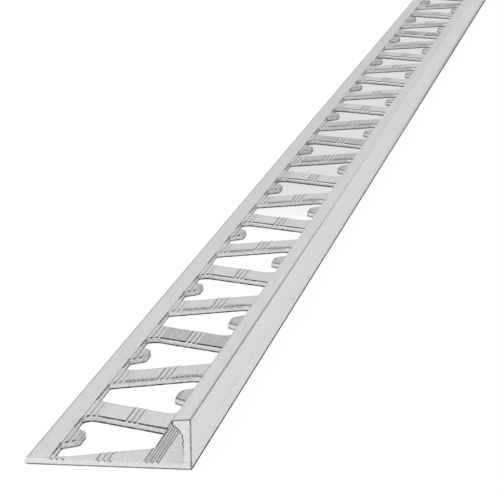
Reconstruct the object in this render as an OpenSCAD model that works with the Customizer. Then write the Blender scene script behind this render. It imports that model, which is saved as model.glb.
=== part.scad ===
// Tile edge trim: one extruded aluminium length with an L-shaped section.
// The wide leg lies flat under the tiles, the wall stands beside their edge and
// its lip covers the joint. The leg is punched with trapezium holes that point
// left and right in turn, each with a rounded tab in the middle of its wide side.
// Units are millimetres. X runs across the trim, Y along it and Z up.
// The origin is at the middle of the underside.

/* [Trim] */
// Length of the stock
length = 1000; // [100:25:3000]
// Overall width, from the leg's free edge to the wall's outer face
width = 26; // [24:0.5:40]
// Overall height, which is the tile thickness that the trim suits
height = 8; // [6:0.5:20]

/* [Leg] */
// Thickness of the leg
leg_t = 1; // [0.7:0.05:1.5]
// Radius in the inside corner between leg and wall
root_r = 0.4; // [0.1:0.05:0.8]

/* [Wall and lip] */
// Thickness of the wall
wall_t = 1.15; // [0.8:0.05:2]
// Radius on the outer bottom and top edges of the wall
edge_r = 0.2; // [0.05:0.05:0.4]
// Width of the lip, from the wall's outer face to its nose
lip_w = 3; // [2:0.1:3.5]
// Angle at which the top of the lip falls towards the tile
lip_fall = 5; // [0:0.5:8]
// Depth of the lip's nose
nose_h = 0.75; // [0.6:0.05:1.2]
// Radius on the nose's two edges
nose_r = 0.25; // [0.05:0.05:0.29]
// Angle at which the lip's underside falls towards the wall
gusset_fall = 28; // [15:1:40]
// Radius that blends the lip's underside into the wall
gusset_r = 1.9; // [0.5:0.1:2.2]

/* [Ribs] */
// Ribs in each group along the leg
ribs_in_group = 3; // [2:1:3]
// Height of a rib above the leg
rib_h = 0.18; // [0.1:0.02:0.5]
// Width of a rib at its foot
rib_w = 0.6; // [0.4:0.05:0.8]
// Distance from one rib to the next in a group
rib_pitch = 0.9; // [0.85:0.05:1.2]
// How far a group starts to the left of the holes' edge that it runs along
rib_lead = 0.15; // [0.05:0.05:0.3]

/* [Punched holes] */
// Plain strip between the leg's free edge and the holes
strip_w = 4; // [3:0.1:6]
// Depth of a hole across the leg
hole_depth = 14.7; // [12:0.1:15]
// Distance from one hole to the next along the trim
hole_pitch = 25; // [24.5:0.1:30]
// Length of a hole's wide side
hole_wide = 23.4; // [20:0.1:24]
// Length of a hole's narrow side
hole_narrow = 9.8; // [9:0.1:13]
// Radius in the two corners at the wide side
hole_wide_r = 1.5; // [0.5:0.1:2]
// Radius in the two corners at the narrow side
hole_narrow_r = 0.6; // [0.3:0.1:2]

/* [Tabs] */
// How far a tab reaches into its hole
tab_reach = 2.4; // [1.5:0.1:3]
// Width of a tab where it leaves the edge of the hole
tab_root = 8.6; // [7:0.1:9]
// Width of a tab at its tip
tab_tip = 5; // [3:0.1:6]
// Radius on the tip's corners
tab_tip_r = 2; // [0.3:0.1:2.2]
// Radius where a tab meets the edge of the hole
tab_root_r = 0.8; // [0.3:0.1:1.2]

/* [Hidden] */
// Largest turn of a rounded corner's facets, in degrees
arc_step = 23;
// How far the punch runs past the leg on each side
punch_over = 1;

left = -width / 2;
right = width / 2;
hole_left = left + strip_w;
hole_right = hole_left + hole_depth;
// The groups run along the holes' two edges and half-way between them.
group_first = hole_left - rib_lead;
group_last = hole_right - rib_lead;
hole_count = floor((length - hole_wide) / hole_pitch) + 1;

function unit(v) = v / norm(v);

// Points of the arc that rounds corner p between its neighbours a and b.
function rounded_corner(a, p, b, r) =
    let (u = unit(a - p), v = unit(b - p),
         half = acos(u * v) / 2,
         centre = p + unit(u + v) * r / sin(half),
         from = p + u * r / tan(half) - centre,
         side = sign(u.y * v.x - u.x * v.y),
         turn = (180 - 2 * half) * side,
         steps = max(1, ceil(abs(turn) / arc_step)))
    [for (i = [0 : steps])
        let (t = turn * i / steps)
        centre + [from.x * cos(t) - from.y * sin(t), from.x * sin(t) + from.y * cos(t)]];

// An outline given as [x, y, radius] corners, with every radius drawn as an arc.
function rounded(corners) =
    let (n = len(corners), p = [for (c = corners) [c.x, c.y]])
    [for (i = [0 : n - 1])
        each corners[i].z > 0
            ? rounded_corner(p[(i + n - 1) % n], p[i], p[(i + 1) % n], corners[i].z)
            : [p[i]]];

// Corners of one group of ribs, from right to left, seen along the trim.
function rib_group(start) =
    [for (i = [ribs_in_group - 1 : -1 : 0])
        let (x = start + i * rib_pitch)
        each [[x + rib_w, leg_t, 0], [x + rib_w / 2, leg_t + rib_h, 0], [x, leg_t, 0]]];

// The extruded section: X across the trim and Y up.
module section() {
    nose_x = right - lip_w;
    nose_top = height - lip_w * tan(lip_fall);
    nose_bottom = nose_top - nose_h;
    wall_x = right - wall_t;
    gusset_z = nose_bottom - (wall_x - nose_x) * tan(gusset_fall);
    polygon(rounded(concat(
        [[left, 0, leg_t * 0.49],
         [right, 0, edge_r],
         [right, height, edge_r],
         [nose_x, nose_top, nose_r],
         [nose_x, nose_bottom, nose_r],
         [wall_x, gusset_z, gusset_r],
         [wall_x, leg_t, root_r]],
        rib_group(group_last),
        rib_group((group_first + group_last) / 2),
        rib_group(group_first),
        [[left, leg_t, leg_t * 0.49]])));
}

// Outline of a hole with its wide side and tab on the left, centred on y = 0.
module hole_outline() {
    polygon(rounded([
        [hole_left, -hole_wide / 2, hole_wide_r],
        [hole_right, -hole_narrow / 2, hole_narrow_r],
        [hole_right, hole_narrow / 2, hole_narrow_r],
        [hole_left, hole_wide / 2, hole_wide_r],
        [hole_left, tab_root / 2, tab_root_r],
        [hole_left + tab_reach, tab_tip / 2, tab_tip_r],
        [hole_left + tab_reach, -tab_tip / 2, tab_tip_r],
        [hole_left, -tab_root / 2, tab_root_r]]));
}

// The punched row, with every second hole turned to the other side.
module punched_row() {
    hole_middle = (hole_left + hole_right) / 2;
    first = -(hole_count - 1) / 2 * hole_pitch;
    for (i = [0 : hole_count - 1])
        translate([hole_middle, first + i * hole_pitch, -punch_over])
            mirror([i % 2, 0, 0])
                translate([-hole_middle, 0, 0])
                    linear_extrude(leg_t + rib_h + 2 * punch_over) hole_outline();
}

module edge_trim() {
    color("silver")
        difference() {
            translate([0, length / 2, 0]) rotate([90, 0, 0]) linear_extrude(length) section();
            punched_row();
        }
}

edge_trim();
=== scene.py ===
"""Tile edge trim: a length of extruded aluminium with a punched, ribbed leg, on a white floor."""
import math
from functools import partial

import bmesh
import bpy
import numpy as np
from mathutils import Matrix, Vector
from mathutils.geometry import delaunay_2d_cdt


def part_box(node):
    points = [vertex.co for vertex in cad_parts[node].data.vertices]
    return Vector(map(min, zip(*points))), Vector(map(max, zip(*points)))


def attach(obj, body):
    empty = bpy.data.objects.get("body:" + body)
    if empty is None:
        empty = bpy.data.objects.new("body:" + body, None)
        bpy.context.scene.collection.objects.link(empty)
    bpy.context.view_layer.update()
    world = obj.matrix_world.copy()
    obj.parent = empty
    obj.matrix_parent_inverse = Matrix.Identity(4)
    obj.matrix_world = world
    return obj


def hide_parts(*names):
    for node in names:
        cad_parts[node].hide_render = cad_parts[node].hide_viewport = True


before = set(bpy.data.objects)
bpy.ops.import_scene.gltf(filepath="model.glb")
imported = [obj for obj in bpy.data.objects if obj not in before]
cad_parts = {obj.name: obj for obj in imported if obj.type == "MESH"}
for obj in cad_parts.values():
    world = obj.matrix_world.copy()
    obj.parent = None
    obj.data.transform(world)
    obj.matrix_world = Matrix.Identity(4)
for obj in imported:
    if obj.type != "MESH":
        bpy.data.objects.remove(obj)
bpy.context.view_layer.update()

# Sizes are millimetres in the trim's own frame; MM turns them to Blender's metres.
MM = 0.001
TRIM_LOW, TRIM_HIGH = (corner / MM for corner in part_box("edge_trim"))
LEFT, FRONT = TRIM_LOW.x, TRIM_LOW.y
RIGHT, BACK = TRIM_HIGH.x, TRIM_HIGH.y
# Points nearer to each other than SAME are one, and a point nearer to an edge than ON_EDGE lies on it
SAME = 1e-4
ON_EDGE = 1e-3
# A small step to one side, and what is too small to divide by
NUDGE = 0.01
TINY = 1e-9

# Section of the extrusion
LEG_T = 1.0
WALL_H = 8.0
WALL_T = 1.15
ROOT_R = 0.4
EDGE_R = 0.2
LIP_W = 3.0
LIP_FALL = 5.0
NOSE_H = 0.75
NOSE_R = 0.25
GUSSET_FALL = 28.0
GUSSET_R = 1.9
FREE_EDGE_R = 0.49
# The largest turn of a facet on a rounded corner, and half the angle of a straight corner, in degrees
ARC_STEP = 11.0
STRAIGHT = 89.9

# Ribs on top of the leg
RIBS_IN_GROUP = 3
RIB_H = 0.18
RIB_W = 0.6
RIB_PITCH = 0.9
RIB_LEAD = 0.15
# A rib's profile in shares of its width and height: foot and left flank in painted shade, crest and right
# flank
RIB_PROFILE = [
    (-0.14, 0.0), (0.0, 0.0), (0.36, 0.8), (0.44, 0.95), (0.5, 1.0), (0.56, 0.95), (0.64, 0.8), (0.86, 0.31),
    (1.0, 0.0)]
RIB_FROM = RIB_PROFILE[0][0]
RIB_FLANK_TO = RIB_PROFILE[2][0]
RIB_FOOT_FROM = RIB_PROFILE[-2][0]
# The part of a rib's width whose ends are left out of the painted shade behind the roll
RIB_BARE_FROM = 0.25
RIB_BARE_TO = 0.8

# Punched holes and their tabs
STRIP_W = 4.0
HOLE_DEPTH = 14.7
HOLE_PITCH = 25.0
HOLE_WIDE = 23.4
HOLE_NARROW = 9.8
HOLE_WIDE_R = 1.5
HOLE_NARROW_R = 0.6
TAB_REACH = 2.4
TAB_ROOT = 8.6
TAB_TIP = 5.0
TAB_TIP_R = 2.0
TAB_ROOT_R = 0.8
HOLE_LEFT = LEFT + STRIP_W
HOLE_RIGHT = HOLE_LEFT + HOLE_DEPTH
HOLE_MIDDLE = (HOLE_LEFT + HOLE_RIGHT) / 2
# The groups of ribs run along the holes' two edges and half-way between them
RIB_FIRST, RIB_LAST = HOLE_LEFT - RIB_LEAD, HOLE_RIGHT - RIB_LEAD
RIB_GROUPS = (RIB_FIRST, (RIB_FIRST + RIB_LAST) / 2, RIB_LAST)
# The pattern repeats every two holes; the repeats are welded where they meet
CELL = 2 * HOLE_PITCH
CELLS = round((BACK - FRONT) / CELL)
CELL_WELD = 0.002
# The punch rolls the top edge over, with a painted dark line of shade behind the roll, and rounds the bottom
# edge a little
ROLL_R = 0.3
ROLL_EDGE = 0.07
ROLL_RINGS = (0.0, ROLL_EDGE, 0.17, ROLL_R)
LINE_TO = 0.7
UNDER_R = 0.08
UNDER_RINGS = (0.03, UNDER_R)
# The lower part of a punched wall is torn, not cut, and is painted dark as the shade under the bar; less of
# it where the punch chatters
TORN_H = 0.3
TORN_H_CHATTER = 0.27
# Behind a hole whose wide side is towards the wall the punch chatters, and marks the bar this far
CHATTER_STEPS = (1.2, 2.3)
# An edge lies across the trim where this much of its outward direction runs along the trim
ACROSS = 0.5
TAB_ACROSS = 0.3
# Along a hole's two sides the painted dark line of shade lies on the roll itself
SIDES = ("side", "narrow_side")

# The broken edges of the two cut ends: on top, underneath, at the side, inside the wall, and how much more
# at the free edge's corner
END_CHAMFER = 0.18
END_CHAMFER_UNDER = 0.28
END_CHAMFER_SIDE = 0.24
END_CHAMFER_INSIDE = 0.19
CORNER_BREAK = 0.22
# Inside the wall the saw leaves a wavy burr: how far it stands out, how much it waves, the length of a wave,
# how far it reaches in, and the height of the faces that it bends
BURR = 0.24
BURR_WAVE = 0.1
BURR_WAVE_LENGTH = 0.95
BURR_REACH = 0.7
BURR_STEP = 0.16
# A second, shorter wave lies over the first, and both grow with height from a calm foot
SECOND_WAVE = 0.5
SECOND_WAVES_PER_WAVE = 2.3
WAVE_GROWTH = 2.0
WAVE_CALM = 0.3
# How much of a face's normal points up, down, sideways or straight to the tile for it to count as turned so
TURNED_UP = 0.5
TURNED = 0.3
TURNED_SIDEWAYS = 0.4
UPRIGHT = 0.99

# How dark the painted shade and reflection on each kind of edge is, and the chatter marks: 0 is bare metal,
# 1 is the darkest line
RIDGE_DARK = 0.5
FOOT_DARK = 1.0
NOSE_DARK = 0.25
FREE_EDGE_DARK = 0.35
ROLL_DARK = 0.1
RIB_END_DARK = 0.05
TAB_RIB_DARK = 0.52
CHATTER_DARK = 1.0
# Painted shade on the sawn ends' broken edges: their outer edges, the ribs' ends and the heights between
# which they lie, underneath at the free edge as a share of FOOT_DARK, and inside the wall, where the dark
# starts at a share of the height and grows
SAWN_DARK = 0.75
SAWN_RIB_DARK = 0.4
SAWN_RIB_FROM = LEG_T + 0.1 * RIB_H
SAWN_RIB_TO = 1.5 * LEG_T
SAWN_UNDER_SHARE = 0.5
SAWN_DARK_INSIDE = 1.0
SAWN_INSIDE_FROM = 0.2
SAWN_INSIDE_GROWTH = 3
# Painted shade on the left flank of every rib, group by group from left to right, and on the right foot,
# deepest where the lip shades the last group
RIB_DARK = ((0.5, 0.5, 0.4), (0.85, 0.6, 0.6), (0.8, 0.65, 0.65))
RIB_FOOT_DARK = (0.2, 0.1, 0.5)
# The painted dark line behind the roll, the painted shade on the cut and torn parts of the wall below it,
# and the punch's streaks down it
LINE_DARK = {
    "front": 0.85, "chatter": 0.3, "back": 0.1, "side": 0.8, "narrow_side": 0.75, "ribbed_tab": 0.75,
    "plain_tab": 0.5, "tab_side": 0.22}
CUT_DARK = 0.1
CUT_DARK_SIDES = 0.0
TORN_BAND_SHADE = {
    "front": 1.0, "chatter": 1.0, "back": 0.5, "side": 1.0, "narrow_side": 0.8, "ribbed_tab": 0.8,
    "plain_tab": 0.7, "tab_side": 0.8}
WALL_STREAKS = {
    "front": 0.28, "chatter": 0.08, "back": 0.28, "side": 0.08, "narrow_side": 0.08, "ribbed_tab": 0.4,
    "plain_tab": 0.25, "tab_side": 0.4}
# What a face carries for the metal: its share of painted edge shade, of chatter and of panel that can be
# dull
MARKS = ("painted_edge_shade", "chatter", "panel")
# The painted contact shade also runs this far up the outer face from its bottom edge
FOOT_LINE_H = 0.3
# How far the ridge's painted dark line reaches from the wall's top corner, and where the free edge's painted
# line starts
RIDGE_REACH = 1.2 * EDGE_R
FREE_EDGE_LINE_FROM = 0.25 * FREE_EDGE_R

# How dull the metal is: a sawn end's flat, the tabs, and the tabs without ribs as a multiple of the others
SAWN_DULL = 0.12
TAB_DULL = 0.24
PLAIN_TAB_DULL = 1.8
# The dullest bar, how rare dull bars are, the seed of their draw, and half a bar as a share of the pitch
BAR_DULL = 0.85
BAR_DULL_RARITY = 5.0
BAR_DULL_SEED = 549
BAR_SHARE = 0.3
# Die lines: their distance and how far one runs on. Satin grain: drawn coarser than it is, so that it shows
DIE_LINE_GAP = 0.5
DIE_LINE_RUN = 60.0
GRAIN = 0.3
# The dashes that chatter leaves, and the patches that break up a dark line
DASH_W = 0.33
DASH_LENGTH = 0.7
PATCH = 1.0
# Painted shade rising up the outer face: its height at the front end and at its full run behind it, and
# where its foot is dark
FOOT_SHADE_H_FRONT = 0.4
FOOT_SHADE_H = 2.6
FOOT_SHADE_RUN = 450.0
FOOT_SHADE_DARK_FROM = 0.72
# The lip's painted dark line fades between two distances from the front end, to a share of what it was
LIP_FADE_FROM = 50.0
LIP_FADE_TO = 250.0
LIP_FADE_LEFT = 0.06
# The glancing sheen darkens over this far from the front end, to its full share
SHEEN_FADE_RUN = 450.0

# The white floor, in metres to each side, and how little it lies below the trim
FLOOR_REACH = 4.0
FLOOR_BELOW = 0.02
# How bright the paper shows, and the share of its look that is not real shading
PAPER_LEVEL = 1.06
PAPER_SHARE = 0.85
# The soft shade on the paper below the leg: where it starts, is full, ends and is gone, from the front end,
# how far it reaches to each side of the holes' middle, and how bright the paper stays there
SHADE_FROM = 168.0
SHADE_FULL = 222.0
SHADE_END = 580.0
SHADE_OUT = 700.0
SHADE_REACH = 9.5
SHADE_LEVEL = 0.74
# The room's brightness round the horizon and overhead
ROOM_HORIZON = 1.02
ROOM_OVERHEAD = 0.65
# The lamp, in metres and watts
LAMP_AT = (-1.2, -0.6, 1.4)
LAMP_TOWARDS = (0.0, -0.2, 0.0)
LAMP_SIZE = 1.6
LAMP_WATTS = 6.0

# The photograph's frame and the camera that took it, fitted to the trim's edges
PHOTO_W, PHOTO_H = 500, 495
FOCAL_PX = 2550.0
SENSOR_W = 36.0
CLIP_NEAR, CLIP_FAR = 0.01, 20.0
CAMERA_AT = (LEFT + 97.17, FRONT - 359.39, 115.655)
CAMERA_YAW = 9.758
CAMERA_PITCH = 12.546
CAMERA_ROLL = -0.903

# Kinds of node that come up often
ATTRIBUTE = "ShaderNodeAttribute"
MAP_RANGE = "ShaderNodeMapRange"
MATH = "ShaderNodeMath"
MIX = "ShaderNodeMix"
NOISE = "ShaderNodeTexNoise"
PLACE = "ShaderNodeTexCoord"
SPLIT = "ShaderNodeSeparateXYZ"


def linear(hex_colour):
    """An sRGB hex colour as linear red, green, blue and alpha."""
    parts = [int(hex_colour[i:i + 2], 16) / 255 for i in (1, 3, 5)]
    return tuple(c / 12.92 if c <= 0.04045 else ((c + 0.055) / 1.055) ** 2.4 for c in parts) + (1.0,)


def in_scene(name, data):
    """A new object in the scene for a mesh, lamp or camera."""
    made = bpy.data.objects.new(name, data)
    bpy.context.scene.collection.objects.link(made)
    return made


def rounded(corners):
    """The outline of (x, y, radius) corners, with each radius drawn as an arc."""
    outline = []
    for i, (x, y, radius) in enumerate(corners):
        corner = Vector((x, y))
        back = (Vector(corners[i - 1][:2]) - corner).normalized()
        ahead = (Vector(corners[(i + 1) % len(corners)][:2]) - corner).normalized()
        half = back.angle(ahead) / 2
        if radius <= 0 or half > math.radians(STRAIGHT):
            outline.append(corner)
            continue
        centre = corner + (back + ahead).normalized() * radius / math.sin(half)
        start = corner + back * radius / math.tan(half) - centre
        side = 1 if back.y * ahead.x - back.x * ahead.y > 0 else -1
        turn = (math.pi - 2 * half) * side
        steps = max(1, math.ceil(math.degrees(abs(turn)) / ARC_STEP))
        outline += [centre + Matrix.Rotation(turn * k / steps, 2) @ start for k in range(steps + 1)]
    return outline


def grown(corners, distance):
    """The same corners after every side has moved out by a distance."""
    lines = []
    for i, (x, y, _) in enumerate(corners):
        a, b = Vector((x, y)), Vector(corners[(i + 1) % len(corners)][:2])
        along = (b - a).normalized()
        lines.append((a + Vector((along.y, -along.x)) * distance, along))
    moved = []
    for i, (_, _, radius) in enumerate(corners):
        (p, u), (q, v) = lines[i - 1], lines[i]
        cross = u.x * v.y - u.y * v.x
        point = p + u * ((q - p).x * v.y - (q - p).y * v.x) / cross
        moved.append((point.x, point.y, radius + distance if cross > 0 else radius - distance))
    return moved


def hole_corners(wide_left, y):
    """Corners of one hole, counter-clockwise, centred on y along the trim."""
    corners = [
        (HOLE_LEFT, -HOLE_WIDE / 2, HOLE_WIDE_R), (HOLE_RIGHT, -HOLE_NARROW / 2, HOLE_NARROW_R),
        (HOLE_RIGHT, HOLE_NARROW / 2, HOLE_NARROW_R), (HOLE_LEFT, HOLE_WIDE / 2, HOLE_WIDE_R),
        (HOLE_LEFT, TAB_ROOT / 2, TAB_ROOT_R), (HOLE_LEFT + TAB_REACH, TAB_TIP / 2, TAB_TIP_R),
        (HOLE_LEFT + TAB_REACH, -TAB_TIP / 2, TAB_TIP_R), (HOLE_LEFT, -TAB_ROOT / 2, TAB_ROOT_R)]
    if not wide_left:
        corners = [(2 * HOLE_MIDDLE - x, py, r) for x, py, r in reversed(corners)]
    return [(x, py + y, r) for x, py, r in corners]


def leg_top_profile(seam_left, seam_right):
    """Points (x, z) across the top of the leg, with the three groups of ribs."""
    points = [(seam_left, LEG_T)]
    for group in RIB_GROUPS:
        for rib in range(RIBS_IN_GROUP):
            foot = group + rib * RIB_PITCH
            points += [(foot + a * RIB_W, LEG_T + b * RIB_H) for a, b in RIB_PROFILE]
    return points + [(seam_right, LEG_T)]


def inside(points, outline):
    """Which of the points lie inside a closed outline."""
    p, a = np.asarray(points), np.asarray(outline)
    b = np.roll(a, -1, axis=0)
    above = (a[None, :, 1] > p[:, None, 1]) != (b[None, :, 1] > p[:, None, 1])
    rise = np.where(b[:, 1] == a[:, 1], 1.0, b[:, 1] - a[:, 1])
    cut = (b[:, 0] - a[:, 0])[None] * (p[:, None, 1] - a[None, :, 1]) / rise[None] + a[None, :, 0]
    return np.sum(above & (p[:, None, 0] < cut), axis=1) % 2 == 1


def nearest(points, outline):
    """Each point's distance to a closed outline, and the direction from the outline to the point."""
    p, a = np.asarray(points)[:, None], np.asarray(outline)[None]
    side = np.roll(a, -1, axis=1) - a
    share = np.clip(np.sum((p - a) * side, 2) / np.maximum(np.sum(side * side, 2), TINY), 0, 1)
    offset = p - a - share[..., None] * side
    distance = np.linalg.norm(offset, axis=2)
    pick = np.arange(len(distance)), np.argmin(distance, axis=1)
    return distance[pick], offset[pick] / np.maximum(distance[pick], TINY)[:, None]


def distance_to(points, outlines):
    """Distance from each point to the nearest of some closed outlines."""
    return np.min([nearest(points, outline)[0] for outline in outlines], axis=0)


def middles_of(points, faces):
    """The middle of each face."""
    return [sum((points[i] for i in face), Vector((0, 0))) / len(face) for face in faces]


def sheet_with_holes(across, holes, outlines, extra_edges=()):
    """Triangles over one cell of the leg, with lines at every x in across, a ring of edges for every
    outline, and the holes left out."""
    points, edges = [], []
    for x in across:
        points += [(x, 0.0), (x, CELL)]
        edges.append((len(points) - 2, len(points) - 1))
    for row in (0, 1):
        edges += [(2 * k + row, 2 * k + 2 + row) for k in range(len(across) - 1)]
    for outline in outlines:
        start, count = len(points), len(outline)
        points += [tuple(p) for p in outline]
        edges += [(start + k, start + (k + 1) % count) for k in range(count)]
    for a, b in extra_edges:
        points += [a, b]
        edges.append((len(points) - 2, len(points) - 1))
    verts, _, faces, _, _, _ = delaunay_2d_cdt([Vector(p) for p in points], edges, [], 0, SAME / 10)
    gone = np.any([inside(middles_of(verts, faces), hole) for hole in holes], axis=0)
    return verts, [f for f, g in zip(faces, gone) if not g]


def open_edges(faces):
    """Edges that belong to one face only, in that face's own direction."""
    sides = [(f[i], f[(i + 1) % len(f)]) for f in faces for i in range(len(f))]
    both = set(sides)
    return [(a, b) for a, b in sides if (b, a) not in both]


def rolled_drop(away, radius):
    """How far an edge that is rolled over by a radius drops, at each distance from the hole."""
    short = np.clip(radius - away, 0, radius)
    return radius - np.sqrt(radius ** 2 - short ** 2)


def add_faces(bm, coordinates, faces, *marks):
    """Adds faces to a mesh, with a list of values for each mark that the faces carry."""
    made = [bm.verts.new(c) for c in coordinates]
    new = [bm.faces.new([made[i] for i in face]) for face in faces]
    for name, values in zip(MARKS, marks):
        layer = bm.faces.layers.float.get(name)
        for face, value in zip(new, values):
            face[layer] = value


def wall_lines(seam_right, seam_under):
    """Lines ((x, z), (x, z), darkness) from the underside round the wall and lip to the top of the leg."""
    nose_x, wall_x = RIGHT - LIP_W, RIGHT - WALL_T
    nose_top = WALL_H - LIP_W * math.tan(math.radians(LIP_FALL))
    nose_bottom = nose_top - NOSE_H
    gusset_z = nose_bottom - (wall_x - nose_x) * math.tan(math.radians(GUSSET_FALL))
    foot_top = EDGE_R + FOOT_LINE_H
    outline = rounded([
        (HOLE_LEFT, 0, 0), (RIGHT, 0, EDGE_R), (RIGHT, foot_top, 0), (RIGHT, WALL_H, EDGE_R),
        (nose_x, nose_top, NOSE_R), (nose_x, nose_bottom, NOSE_R), (wall_x, gusset_z, GUSSET_R),
        (wall_x, LEG_T, ROOT_R), (HOLE_LEFT, LEG_T, 0)])
    outline[0], outline[-1] = Vector((seam_under, 0)), Vector((seam_right, LEG_T))
    lines = []
    for p, q in zip(outline, outline[1:]):
        if (q - p).length < SAME:
            continue
        middle, sloped = (p + q) / 2, min(abs(p.x - q.x), abs(p.y - q.y)) > SAME
        # The foot carries painted contact shade, and the ridge and the lip's nose a painted dark reflection
        dark = 0.0
        if middle.x > RIGHT - EDGE_R and middle.y < foot_top:
            dark = FOOT_DARK
        elif middle.x > RIGHT - RIDGE_REACH and middle.y > WALL_H - RIDGE_REACH and sloped:
            dark = RIDGE_DARK
        elif middle.x < nose_x + NOSE_R and middle.y > nose_top - NOSE_R:
            dark = NOSE_DARK
        lines.append((p, q, dark))
    return lines


def free_edge_lines(seam_left):
    """The same for the leg's rounded free edge, from its top to the underside."""
    outline = rounded([(RIGHT, LEG_T, 0), (LEFT, LEG_T, FREE_EDGE_R), (LEFT, 0, FREE_EDGE_R), (RIGHT, 0, 0)])
    outline[0], outline[-1] = Vector((seam_left, LEG_T)), Vector((seam_left, 0))
    lines = []
    for p, q in zip(outline, outline[1:]):
        if (q - p).length < SAME:
            continue
        middle = (p + q) / 2
        # The upper part of the free edge carries a painted dark line
        lined = middle.x > LEFT + FREE_EDGE_LINE_FROM and middle.y > LEG_T / 2
        lines.append((p, q, FREE_EDGE_DARK if lined else 0.0))
    return lines


def rib_at(x):
    """The group and number of the rib at x and the place across it as a share of its width, or None and
    zeros beside the ribs."""
    for group, start in enumerate(RIB_GROUPS):
        for rib in range(RIBS_IN_GROUP):
            share = (x - start - rib * RIB_PITCH) / RIB_W
            if RIB_FROM < share < 1:
                return group, rib, share
    return None, 0, 0.0


def edge_kind(x, y, out, wide_left):
    """What a hole's edge is at a place along it, from the direction out of the hole. At the hole's middle
    y is 0."""
    past_wide_side = HOLE_LEFT + TAB_REACH - x if wide_left else x - HOLE_RIGHT + TAB_REACH
    if abs(y) < TAB_ROOT / 2 and past_wide_side > -ON_EDGE:
        if out[1] < TAB_ACROSS:
            return "tab_side"
        return "ribbed_tab" if wide_left else "plain_tab"
    if out[1] > ACROSS:
        return "front" if wide_left else "chatter"
    if out[1] < -ACROSS:
        return "back"
    return "side" if past_wide_side > 0 else "narrow_side"


def nearest_edges(points):
    """The kind of the nearest hole's edge and the distance to it, for points in one cell. The holes next to
    the cell count too."""
    found = []
    for number in range(-1, 3):
        middle, wide_left = (number + 0.5) * HOLE_PITCH, number % 2 == 0
        away, out = nearest(points, rounded(hole_corners(wide_left, middle)))
        kinds = [edge_kind(p[0], p[1] - middle, o, wide_left) for p, o in zip(points, out)]
        found.append(list(zip(away, kinds)))
    return [min(choices)[::-1] for choices in zip(*found)]


def lines_behind(corners, step):
    """A line a step behind the hole's far side: one piece in this cell, and one that starts the next."""
    wide, narrow = sorted(grown(corners, step), key=lambda c: -c[1])[:2]
    wide, narrow = Vector(wide[:2]), Vector(narrow[:2])
    if wide.y <= CELL:
        return [(wide, narrow)]
    border = narrow.lerp(wide, (CELL - narrow.y) / (wide.y - narrow.y))
    shift = Vector((0, -CELL))
    return [(border, narrow), (border + shift, wide + shift)]


def leg_marks(x, kind, away):
    """The marks on the top of the leg at x, so far away from that kind of edge, with painted shade behind
    the roll and on the ribs. A rib's end stays almost free of that shade.
    """
    group, rib, share = rib_at(x)
    on_rib = group is not None and RIB_BARE_FROM < share < RIB_BARE_TO
    on_flank = group is not None and share < RIB_FLANK_TO
    struck = kind == "chatter" and away > ROLL_R and HOLE_LEFT < x < HOLE_RIGHT and not on_rib
    chatter = CHATTER_DARK * max(0.0, 1 - away / CHATTER_STEPS[-1]) if struck else 0.0
    panel = 1.0 if group is None or "tab" in kind else 0.0
    if "tab" in kind and x > HOLE_MIDDLE:
        panel = PLAIN_TAB_DULL
    if kind in SIDES and ROLL_EDGE < away < ROLL_R:
        return LINE_DARK[kind], chatter, panel
    if away < ROLL_EDGE:
        return ROLL_DARK, chatter, 0.0
    if away < LINE_TO and kind not in SIDES and not (on_flank and kind == "back"):
        return (RIB_END_DARK if on_rib else LINE_DARK[kind]), chatter, panel
    # Painted shade on the ribs' left flanks and right feet, and across the tab's ribs
    dark = 0.0
    if on_flank:
        dark = TAB_RIB_DARK if "tab" in kind else RIB_DARK[group][rib]
    elif group is not None and share > RIB_FOOT_FROM:
        dark = RIB_FOOT_DARK[group]
    return dark, chatter, panel


def torn_height(y):
    """Height of the torn part of a hole's wall at y in one cell."""
    number = int(y // HOLE_PITCH)
    past_middle = y - (number + 0.5) * HOLE_PITCH
    return TORN_H_CHATTER if number % 2 and past_middle > HOLE_NARROW / 2 - HOLE_NARROW_R else TORN_H


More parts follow.
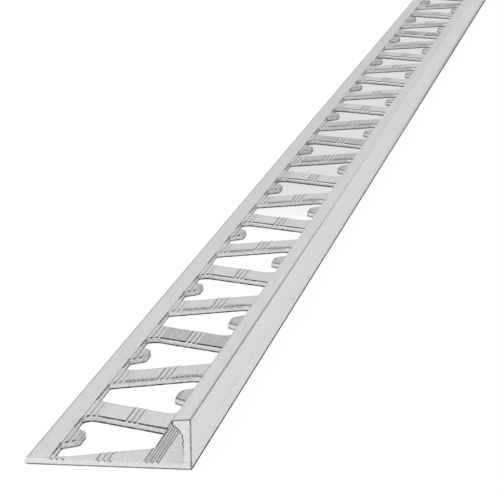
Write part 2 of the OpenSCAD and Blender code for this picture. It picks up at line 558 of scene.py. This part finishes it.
def make_cell():
    """One repeat of the trim as a mesh in metres: a hole with its wide side to the left, a hole with it to
    the right, and the wall beside them."""
    seam_left, seam_right, seam_under = LEFT + LEG_T / 2, RIGHT - WALL_T - ROOT_R, RIGHT - EDGE_R
    corners = [hole_corners(True, CELL / 4), hole_corners(False, 3 * CELL / 4)]
    holes = [rounded(c) for c in corners]
    bm = bmesh.new()
    for name in MARKS:
        bm.faces.layers.float.new(name)

    # Top of the leg: ribs, with the rolled edge of every hole and lines along the chatter
    profile_x, profile_z = zip(*leg_top_profile(seam_left, seam_right))
    rings = [rounded(grown(c, d)) for c in corners for d in ROLL_RINGS + (LINE_TO,)]
    chatter_lines = [line for step in CHATTER_STEPS for line in lines_behind(corners[1], step)]
    top, faces = sheet_with_holes(profile_x, holes, rings, chatter_lines)
    away = distance_to(top, holes)
    height = np.interp([p.x for p in top], profile_x, profile_z) - rolled_drop(away, ROLL_R)
    middles = middles_of(top, faces)
    marks = [leg_marks(m.x, kind, distance) for m, (kind, distance) in zip(middles, nearest_edges(middles))]
    add_faces(bm, [(p.x, p.y, z) for p, z in zip(top, height)], faces, *zip(*marks))

    # Walls of the holes: cut above, torn below, with painted shade on the torn part
    rim = [(a, b) for a, b in open_edges(faces) if away[a] < ON_EDGE and away[b] < ON_EDGE]
    rim_middles = [(top[a] + top[b]) / 2 + (top[b] - top[a]).orthogonal() * NUDGE for a, b in rim]
    for (a, b), (kind, _) in zip(rim, nearest_edges(rim_middles)):
        (ax, ay), (bx, by) = top[a], top[b]
        ends = ((bx, by, height[b]), (ax, ay, height[a]))
        wall = [(x, y, z) for x, y, high in ends for z in (high, torn_height(y), UNDER_R)]
        # The torn band carries painted shade from under the bar
        darks = CUT_DARK_SIDES if kind in SIDES else CUT_DARK, TORN_BAND_SHADE[kind]
        add_faces(bm, wall, [(0, 3, 4, 1), (1, 4, 5, 2)], darks, [WALL_STREAKS[kind]] * 2)

    # Underside, with the holes' lower edges painted dark as contact shade
    under_rings = [rounded(grown(c, d)) for c in corners for d in UNDER_RINGS]
    rim_lines = [(tuple(top[a]), tuple(top[b])) for a, b in rim]
    under, faces = sheet_with_holes((seam_left, seam_under), holes, under_rings, rim_lines)
    away = distance_to(under, holes)
    dark = [1.0 if min(away[i] for i in f) < UNDER_R - NUDGE else 0.0 for f in faces]
    raised = zip(under, rolled_drop(away, UNDER_R))
    add_faces(bm, [(p.x, p.y, z) for p, z in raised], [f[::-1] for f in faces], dark)

    # Wall, lip and free edge: plain extrusion, with painted dark lines on some of its edges
    for p, q, dark in wall_lines(seam_right, seam_under) + free_edge_lines(seam_left):
        strip = [(p.x, 0, p.y), (q.x, 0, q.y), (q.x, CELL, q.y), (p.x, CELL, p.y)]
        add_faces(bm, strip, [(0, 1, 2, 3)], [dark])

    bmesh.ops.remove_doubles(bm, verts=bm.verts, dist=SAME)
    bmesh.ops.recalc_face_normals(bm, faces=bm.faces)
    bmesh.ops.scale(bm, verts=bm.verts, vec=(MM, MM, MM))
    mesh = bpy.data.meshes.new("trim_cell")
    bm.to_mesh(mesh)
    bm.free()
    return mesh


def add_node(tree, kind, inputs=None, **settings):
    """Adds a node with its settings, and gives its named or numbered inputs a value, a socket, or a node,
    which stands for its first output in use."""
    node = tree.nodes.new(kind)
    for name, value in settings.items():
        setattr(node, name, value)
    for socket, value in (inputs or {}).items():
        if isinstance(value, bpy.types.Node):
            value = next(output for output in value.outputs if output.enabled)
        if isinstance(value, bpy.types.NodeSocket):
            tree.links.new(value, node.inputs[socket])
        else:
            node.inputs[socket].default_value = value
    return node


def empty_tree(owner):
    """The node tree of a material or world, with nothing in it."""
    owner.use_nodes = True
    owner.node_tree.nodes.clear()
    return owner.node_tree


def extruded_aluminium():
    """Mill-finish extruded aluminium: a pale satin metal with a fine grain, faint die lines along its length
    and painted dark lines of shade and reflection on its edges."""
    material = bpy.data.materials.new("mill_finish_extruded_aluminium")
    add = partial(add_node, empty_tree(material))
    place = add(PLACE).outputs["Object"]
    at = add(SPLIT, {0: place}).outputs

    # Die lines and grain speckle the bare metal
    die_scale = [1 / (size * MM) for size in (DIE_LINE_GAP, DIE_LINE_RUN, DIE_LINE_GAP)]
    die_place = add("ShaderNodeMapping", {"Vector": place, "Scale": die_scale})
    die_lines = add(NOISE, {"Vector": die_place, "Scale": 1.0, "Detail": 2.0})
    grain = add(NOISE, {"Vector": place, "Scale": 1 / (GRAIN * MM), "Detail": 1.0})
    speckle = add(MIX, {"Factor": 0.3, "A": grain, "B": die_lines}, data_type="FLOAT")
    spread = add(MAP_RANGE, {"Value": speckle, "From Min": 0.3, "From Max": 0.7})
    metal_shades = {"A": linear("#D8D8D9"), "B": linear("#F0F0F0")}
    metal = add(MIX, {"Factor": spread, **metal_shades}, data_type="RGBA")

    # Panels and tabs came out of the punch duller than the rest and more streaked
    bar = add(ATTRIBUTE, attribute_name="bar_dull").outputs["Fac"]
    panel = add(ATTRIBUTE, attribute_name="panel").outputs["Fac"]
    dull = add(MATH, {0: bar, 1: panel}, operation="MULTIPLY")
    streaks = add(MIX, {"Factor": 0.4, "A": grain, "B": die_lines}, data_type="FLOAT")
    streaked = add(MAP_RANGE, {"Value": streaks, "From Min": 0.35, "From Max": 0.65})
    dull_shades = {"A": linear("#88888A"), "B": linear("#C8C8CA")}
    dull_metal = add(MIX, {"Factor": streaked, **dull_shades}, data_type="RGBA")
    dulled = add(MIX, {"Factor": dull, "A": metal, "B": dull_metal}, data_type="RGBA")

    # Painted shade rises up the outer face from the floor, higher away from the front end: its foot darkens
    # the colour, and above that it darkens only the glancing sheen
    foot_shade_top = add(MAP_RANGE, {"Value": at["Y"], "From Min": FRONT * MM, "From Max": (FRONT + FOOT_SHADE_RUN) * MM,
                               "To Min": FOOT_SHADE_H_FRONT * MM, "To Max": FOOT_SHADE_H * MM})
    low = add(MAP_RANGE, {"Value": at["Z"], "From Min": foot_shade_top, "From Max": 0.0})
    outer = add(MATH, {0: at["X"], 1: (RIGHT - EDGE_R) * MM}, operation="GREATER_THAN")
    painted_foot_shade = add(MATH, {0: low, 1: outer}, operation="MULTIPLY")
    foot = add(MATH, {0: painted_foot_shade, 1: FOOT_SHADE_DARK_FROM}, operation="GREATER_THAN")

    # Edges carry a painted dark line of shade and reflection. The lip's fades away from the front end, but
    # not on the sawn back end
    painted_edges = add(ATTRIBUTE, attribute_name="painted_edge_shade").outputs["Fac"]
    lip_line_fade = add(MAP_RANGE, {"Value": at["Y"], "From Min": (FRONT + LIP_FADE_FROM) * MM,
                            "From Max": (FRONT + LIP_FADE_TO) * MM, "To Min": 1.0, "To Max": LIP_FADE_LEFT})
    on_leg = add(MATH, {0: at["Z"], 1: WALL_H / 2 * MM}, operation="LESS_THAN")
    at_back = add(MATH, {0: at["Y"], 1: (BACK - END_CHAMFER) * MM}, operation="GREATER_THAN")
    kept = add(MATH, {0: lip_line_fade, 1: on_leg}, operation="MAXIMUM")
    kept = add(MATH, {0: kept, 1: at_back}, operation="MAXIMUM")
    kept_edge_shade = add(MATH, {0: painted_edges, 1: kept}, operation="MULTIPLY")

    # That painted edge line and the dark foot of the painted shade on the outer face are broken up every
    # millimetre or so
    edge = add(MATH, {0: kept_edge_shade, 1: foot}, operation="MAXIMUM")
    patches = add(NOISE, {"Vector": place, "Scale": 1 / (PATCH * MM), "Detail": 1.0})
    broken = add(MAP_RANGE, {"Value": patches, "From Min": 0.38, "From Max": 0.6, "To Min": 0.75})
    line = add(MATH, {0: edge, 1: broken}, operation="MULTIPLY")

    # Chatter leaves short dashes along the trim
    chatter = add(ATTRIBUTE, attribute_name="chatter").outputs["Fac"]
    dash_scale = [1 / (size * MM) for size in (DASH_W, DASH_LENGTH, DASH_W)]
    dash_place = add("ShaderNodeMapping", {"Vector": place, "Scale": dash_scale})
    dashes = add(NOISE, {"Vector": dash_place, "Scale": 1.0, "Detail": 1.0})
    struck = add(MAP_RANGE, {"Value": dashes, "From Min": 0.36, "From Max": 0.56})
    marks = add(MATH, {0: chatter, 1: struck}, operation="MULTIPLY")
    # The painted edge shade and the chatter dashes darken the colour to one dark grey
    dark = add(MATH, {0: line, 1: marks}, operation="MAXIMUM")
    colour = add(MIX, {"Factor": dark, "A": dulled, "B": linear("#3A3A3C")}, data_type="RGBA")

    # The glancing sheen darkens away from the front end, and the painted edge shade and painted shade at the
    # foot darken it further
    sheen_fade = add(MAP_RANGE, {"Value": at["Y"], "From Min": FRONT * MM, "From Max": (FRONT + SHEEN_FADE_RUN) * MM},
                interpolation_type="SMOOTHSTEP")
    sheen = add(MIX, {"Factor": sheen_fade, "A": linear("#E1E1E1"), "B": linear("#D6D6D6")}, data_type="RGBA")
    glance_dark = add(MATH, {0: dark, 1: painted_foot_shade}, operation="MAXIMUM")
    glance = add(MIX, {"Factor": glance_dark, "A": sheen, "B": linear("#404040")}, data_type="RGBA")
    rough = add(MAP_RANGE, {"Value": grain, "To Min": 0.38, "To Max": 0.48})
    shader = add("ShaderNodeBsdfPrincipled", {
        "Base Color": colour, "Metallic": 1.0, "Roughness": rough, "Specular Tint": glance})
    add("ShaderNodeOutputMaterial", {"Surface": shader})
    return material


def run_of_cells():
    """Geometry Nodes tree that lays the cell end to end along Y, joins the copies, dulls each bar and tab by
    its own share, and gives them their metal."""
    tree = bpy.data.node_groups.new("run_of_cells", "GeometryNodeTree")
    add = partial(add_node, tree)
    sockets = {
        "Cell": "Geometry", "Cells": "Int", "Cell Length": "Float", "Start": "Float", "Weld": "Float",
        "Bar Pitch": "Float", "Punched From": "Float", "Punched To": "Float", "Bar Share": "Float",
        "Most Dull": "Float", "Rarity": "Float", "Tab Dull": "Float", "Seed": "Int", "Metal": "Material"}
    for label, kind in sockets.items():
        tree.interface.new_socket(label, in_out="INPUT", socket_type="NodeSocket" + kind)
    tree.interface.new_socket("Trim", in_out="OUTPUT", socket_type="NodeSocketGeometry")
    given = add("NodeGroupInput").outputs
    start = add("ShaderNodeCombineXYZ", {"Y": given["Start"]})
    step = add("ShaderNodeCombineXYZ", {"Y": given["Cell Length"]})
    places = add("GeometryNodeMeshLine", {"Count": given["Cells"], "Start Location": start, "Offset": step})
    copies = add("GeometryNodeInstanceOnPoints", {"Points": places, "Instance": given["Cell"]})
    real = add("GeometryNodeRealizeInstances", {"Geometry": copies})
    welded = add("GeometryNodeMergeByDistance", {"Geometry": real, "Distance": given["Weld"]})

    # Few bars are much duller than the rest, and the tabs between them are all a little dull
    at = add(SPLIT, {0: add("GeometryNodeInputPosition")}).outputs
    run = add(MATH, {0: at["Y"], 1: given["Start"]}, operation="SUBTRACT")
    along = add(MATH, {0: run, 1: given["Bar Pitch"]}, operation="DIVIDE")
    bar = add(MATH, {0: along}, operation="ROUND")
    on_bar = add(MATH, {0: along, 1: bar, 2: given["Bar Share"]}, operation="COMPARE")
    chance = add("FunctionNodeRandomValue", {"ID": bar, "Seed": given["Seed"]}, data_type="FLOAT")
    rare = add(MATH, {0: chance, 1: given["Rarity"]}, operation="POWER")
    bar_share = add(MATH, {0: rare, 1: given["Most Dull"]}, operation="MULTIPLY")
    dull = add(MIX, {"Factor": on_bar, "A": given["Tab Dull"], "B": bar_share}, data_type="FLOAT")

    # Only the punched part of the leg is dulled
    right_of = add(MATH, {0: at["X"], 1: given["Punched From"]}, operation="GREATER_THAN")
    left_of = add(MATH, {0: at["X"], 1: given["Punched To"]}, operation="LESS_THAN")
    punched = add(MATH, {0: right_of, 1: left_of}, operation="MULTIPLY")
    bar_dull = add(MATH, {0: dull, 1: punched}, operation="MULTIPLY")
    dulled = add("GeometryNodeStoreNamedAttribute", {
        "Geometry": welded, "Name": "bar_dull", "Value": bar_dull}, data_type="FLOAT", domain="FACE")
    metal = add("GeometryNodeSetMaterial", {"Geometry": dulled, "Material": given["Metal"]})
    add("NodeGroupOutput", {0: metal})
    return tree


def set_inputs(modifier, values):
    """Sets a Geometry Nodes modifier's inputs by the names that its tree gives them."""
    for item in modifier.node_group.interface.items_tree:
        if item.in_out == "INPUT" and item.name in values:
            modifier[item.identifier] = values[item.name]


def end_darkness(middle, normal):
    """How dark the painted shade on a cut end's broken edge is: darkest underneath, bare along the top of
    the leg, and darker up the inside of the wall."""
    if middle.z < EDGE_R and normal.z < -TURNED:
        across = (middle.x - LEFT) / (RIGHT - LEFT)
        return FOOT_DARK * (SAWN_UNDER_SHARE + (1 - SAWN_UNDER_SHARE) * across)
    if middle.z < SAWN_RIB_TO and normal.x < TURNED_SIDEWAYS:
        return SAWN_RIB_DARK if middle.z > SAWN_RIB_FROM else 0.0
    if normal.x < -TURNED_SIDEWAYS:
        rise = (middle.z / WALL_H - SAWN_INSIDE_FROM) * SAWN_INSIDE_GROWTH
        return min(SAWN_DARK_INSIDE, max(0.0, rise))
    return SAWN_DARK


def split_burr(bm, end, inward):
    """Splits the inside of the wall beside a cut end into the small faces that the burr bends, and gives
    their vertices."""
    def cut(faces, point, normal):
        parts = list(dict.fromkeys(part for f in faces for part in (f, *f.edges, *f.verts)))
        plane = {"plane_co": Vector(point) * MM, "plane_no": normal}
        cut_up = bmesh.ops.bisect_plane(bm, geom=parts, dist=SAME * MM, **plane)
        return [part for part in cut_up["geom"] if isinstance(part, bmesh.types.BMFace)]

    def off_end(face):
        return [abs(v.co.y / MM - end) for v in face.verts]

    nose_end = (RIGHT - LIP_W + NOSE_R) * MM
    faces = [f for f in bm.faces if f.normal.x < -TURNED and f.calc_center_median().x > nose_end]
    faces = [f for f in faces if min(off_end(f)) < ON_EDGE]
    faces = cut(faces, (0, end + inward * BURR_REACH, 0), (0, 1, 0))
    faces = [f for f in faces if max(off_end(f)) < BURR_REACH + NUDGE]
    bent = {v for f in faces for v in f.verts}
    upright = [f for f in faces if f.normal.x < -UPRIGHT]
    for height in np.arange(LEG_T + ROOT_R + BURR_STEP, WALL_H - NOSE_H, BURR_STEP):
        upright = cut(upright, (0, 0, height), (0, 0, 1))
    return bent | {v for f in upright for v in f.verts}


def burr_at(x, z):
    """How far the burr stands out at a place on the inside of the wall."""
    turn = math.tau * z / BURR_WAVE_LENGTH
    wave = math.sin(turn) + SECOND_WAVE * math.sin(SECOND_WAVES_PER_WAVE * turn)
    growth = min(1.0, z / WALL_H * WAVE_GROWTH - WAVE_CALM)
    from_root = min(1.0, max(0.0, (z - LEG_T) / ROOT_R))
    from_nose = min(1.0, max(0.0, (x - RIGHT + LIP_W - NOSE_R) / NOSE_H))
    return (BURR + BURR_WAVE * wave * from_root * growth) * from_root * from_nose


def cut_ends(mesh):
    """Closes both sawn ends with a flat face and a small broken edge."""
    bm = bmesh.new()
    bm.from_mesh(mesh)
    marks = bm.faces.layers.float
    for end, inward in ((FRONT, 1), (BACK, -1)):
        inside_wall = split_burr(bm, end, inward)
        rim = [e for e in bm.edges if e.is_boundary]
        rim = [e for e in rim if all(abs(v.co.y / MM - end) < ON_EDGE for v in e.verts)]
        outer = list(dict.fromkeys(v for e in rim for v in e.verts))
        inner, corner, burr = {}, {}, {}
        for v in outer:
            out = sum((e.link_faces[0].normal for e in v.link_edges if e.is_boundary), Vector())
            out.y = 0
            out.normalize()
            x, _, z = v.co / MM
            inset = END_CHAMFER if out.z > TURNED_UP or x < RIGHT - LIP_W else END_CHAMFER_SIDE
            if out.z < 0 and z < EDGE_R:
                inset = END_CHAMFER_UNDER
            corner[v] = CORNER_BREAK * max(0.0, 1 - (x - LEFT) / (2 * FREE_EDGE_R))
            burr[v] = out * (burr_at(x, z) if v in inside_wall else 0.0)
            inset = END_CHAMFER_INSIDE if v in inside_wall else max(inset, END_CHAMFER + corner[v])
            inner[v] = bm.verts.new(v.co + (burr[v] - out * inset) * MM)
        for v in outer:
            v.co += (burr[v] + Vector((0, inward * (END_CHAMFER + corner[v]), 0))) * MM
        for e in rim:
            a, b = e.verts
            slope = e.link_faces[0].normal.copy()
            broken = bm.faces.new((a, b, inner[b], inner[a]))
            # Each broken edge carries its painted shade
            broken[marks["painted_edge_shade"]] = end_darkness((a.co + b.co) / (2 * MM), slope)
        flat = [bm.edges.get((inner[e.verts[0]], inner[e.verts[1]])) for e in rim]
        filled = bmesh.ops.triangle_fill(bm, use_beauty=True, edges=flat)
        for face in (f for f in filled["geom"] if isinstance(f, bmesh.types.BMFace)):
            face[marks["panel"]], face[marks["bar_dull"]] = 1.0, SAWN_DULL
    bmesh.ops.recalc_face_normals(bm, faces=bm.faces)
    bm.to_mesh(mesh)
    bm.free()


def make_trim():
    """The whole trim as one mesh, which stands for the CAD solid."""
    metal = extruded_aluminium()
    cell = in_scene("trim_cell", make_cell())
    cell.data.materials.append(metal)
    repeat = cell.modifiers.new("run_of_cells", "NODES")
    repeat.node_group = run_of_cells()
    set_inputs(repeat, {
        "Cells": CELLS, "Cell Length": CELL * MM, "Start": FRONT * MM, "Weld": CELL_WELD * MM,
        "Bar Pitch": HOLE_PITCH * MM, "Punched From": HOLE_LEFT * MM, "Punched To": HOLE_RIGHT * MM,
        "Bar Share": BAR_SHARE, "Most Dull": BAR_DULL, "Rarity": BAR_DULL_RARITY, "Tab Dull": TAB_DULL,
        "Seed": BAR_DULL_SEED, "Metal": metal})
    bpy.context.view_layer.update()
    ready = cell.evaluated_get(bpy.context.evaluated_depsgraph_get())
    mesh = bpy.data.meshes.new_from_object(ready)
    bpy.data.objects.remove(cell)
    cut_ends(mesh)
    mesh.name = "edge_trim_dressed"
    return in_scene("edge_trim_dressed", mesh)


def white_paper():
    """Matt white paper: white to the eye and in reflections, with a weak share of real shading so that it
    keeps the trim's shadow."""
    material = bpy.data.materials.new("white_paper_floor")
    material.cycles.emission_sampling = "NONE"
    add = partial(add_node, empty_tree(material))
    path = add("ShaderNodeLightPath").outputs
    seen = add(MATH, {0: path["Is Camera Ray"], 1: path["Is Glossy Ray"]}, operation="MAXIMUM")
    seen = add(MATH, {0: seen, 1: path["Is Transmission Ray"]}, operation="MAXIMUM")
    paper = add("ShaderNodeBsdfDiffuse", {"Color": linear("#F2F2F2")})

    # Past the first few holes the paper below the leg lies in the trim's own shade
    at = add(SPLIT, {0: add(PLACE).outputs["Object"]}).outputs
    behind = add(MAP_RANGE, {"Value": at["Y"], "From Min": (FRONT + SHADE_FROM) * MM,
                             "From Max": (FRONT + SHADE_FULL) * MM}, interpolation_type="SMOOTHSTEP")
    ahead = add(MAP_RANGE, {"Value": at["Y"], "From Min": (FRONT + SHADE_END) * MM,
                            "From Max": (FRONT + SHADE_OUT) * MM, "To Min": 1.0, "To Max": 0.0})
    below = add(MATH, {0: at["X"], 1: HOLE_MIDDLE * MM, 2: SHADE_REACH * MM}, operation="COMPARE")
    along = add(MATH, {0: behind, 1: ahead}, operation="MULTIPLY")
    shade = add(MATH, {0: along, 1: below}, operation="MULTIPLY")
    level = add(MAP_RANGE, {"Value": shade, "To Min": PAPER_LEVEL, "To Max": SHADE_LEVEL})
    glow = add("ShaderNodeEmission", {"Color": linear("#FFFFFF"), "Strength": level})
    white = add("ShaderNodeMixShader", {"Fac": PAPER_SHARE, 1: paper, 2: glow})
    surface = add("ShaderNodeMixShader", {"Fac": seen, 1: paper, 2: white})
    add("ShaderNodeOutputMaterial", {"Surface": surface})
    return material


def white_floor():
    """A wide white floor just below the trim."""
    mesh = bpy.data.meshes.new("white_floor")
    z = (TRIM_LOW.z - FLOOR_BELOW) * MM
    corners = [(x * FLOOR_REACH, y * FLOOR_REACH, z) for x, y in ((-1, -1), (1, -1), (1, 1), (-1, 1))]
    mesh.from_pydata(corners, [], [(0, 1, 2, 3)])
    mesh.materials.append(white_paper())
    return in_scene("white_floor", mesh)


def soft_room():
    """A pale room as the world: bright round the horizon, dimmer overhead."""
    world = bpy.data.worlds.new("soft_room")
    bpy.context.scene.world = world
    add = partial(add_node, empty_tree(world))
    way = add(SPLIT, {0: add(PLACE).outputs["Generated"]}).outputs
    level = add(MAP_RANGE, {"Value": way["Z"], "From Min": 0.35, "From Max": 0.95, "To Min": ROOM_HORIZON,
                            "To Max": ROOM_OVERHEAD}, interpolation_type="SMOOTHSTEP")
    back = add("ShaderNodeBackground", {"Color": linear("#FFFFFF"), "Strength": level})
    add("ShaderNodeOutputWorld", {"Surface": back})


def softbox():
    """A square area lamp to the left that faces the front part of the trim."""
    lamp = bpy.data.lights.new("softbox_left", "AREA")
    lamp.size, lamp.energy = LAMP_SIZE, LAMP_WATTS
    box = in_scene("softbox_left", lamp)
    box.location = LAMP_AT
    box.rotation_mode = "QUATERNION"
    box.rotation_quaternion = (Vector(LAMP_TOWARDS) - Vector(LAMP_AT)).to_track_quat("-Z", "Y")


def photo_camera():
    """The camera that took the photograph."""
    lens = bpy.data.cameras.new("photo_camera")
    lens.sensor_width = SENSOR_W
    lens.lens = FOCAL_PX * SENSOR_W / max(PHOTO_W, PHOTO_H)
    lens.clip_start, lens.clip_end = CLIP_NEAR, CLIP_FAR
    camera = in_scene("photo_camera", lens)
    yaw, pitch, roll = (math.radians(a) for a in (CAMERA_YAW, CAMERA_PITCH, CAMERA_ROLL))
    tilt = Matrix.Rotation(math.pi / 2 - pitch, 4, "X") @ Matrix.Rotation(roll, 4, "Z")
    turn = Matrix.Rotation(yaw, 4, "Z") @ tilt
    camera.matrix_world = Matrix.Translation(Vector(CAMERA_AT) * MM) @ turn
    bpy.context.scene.camera = camera


bpy.context.scene.view_settings.view_transform = "Standard"
trim = make_trim()
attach(trim, "root")
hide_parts("edge_trim")
white_floor()
soft_room()
softbox()
photo_camera()
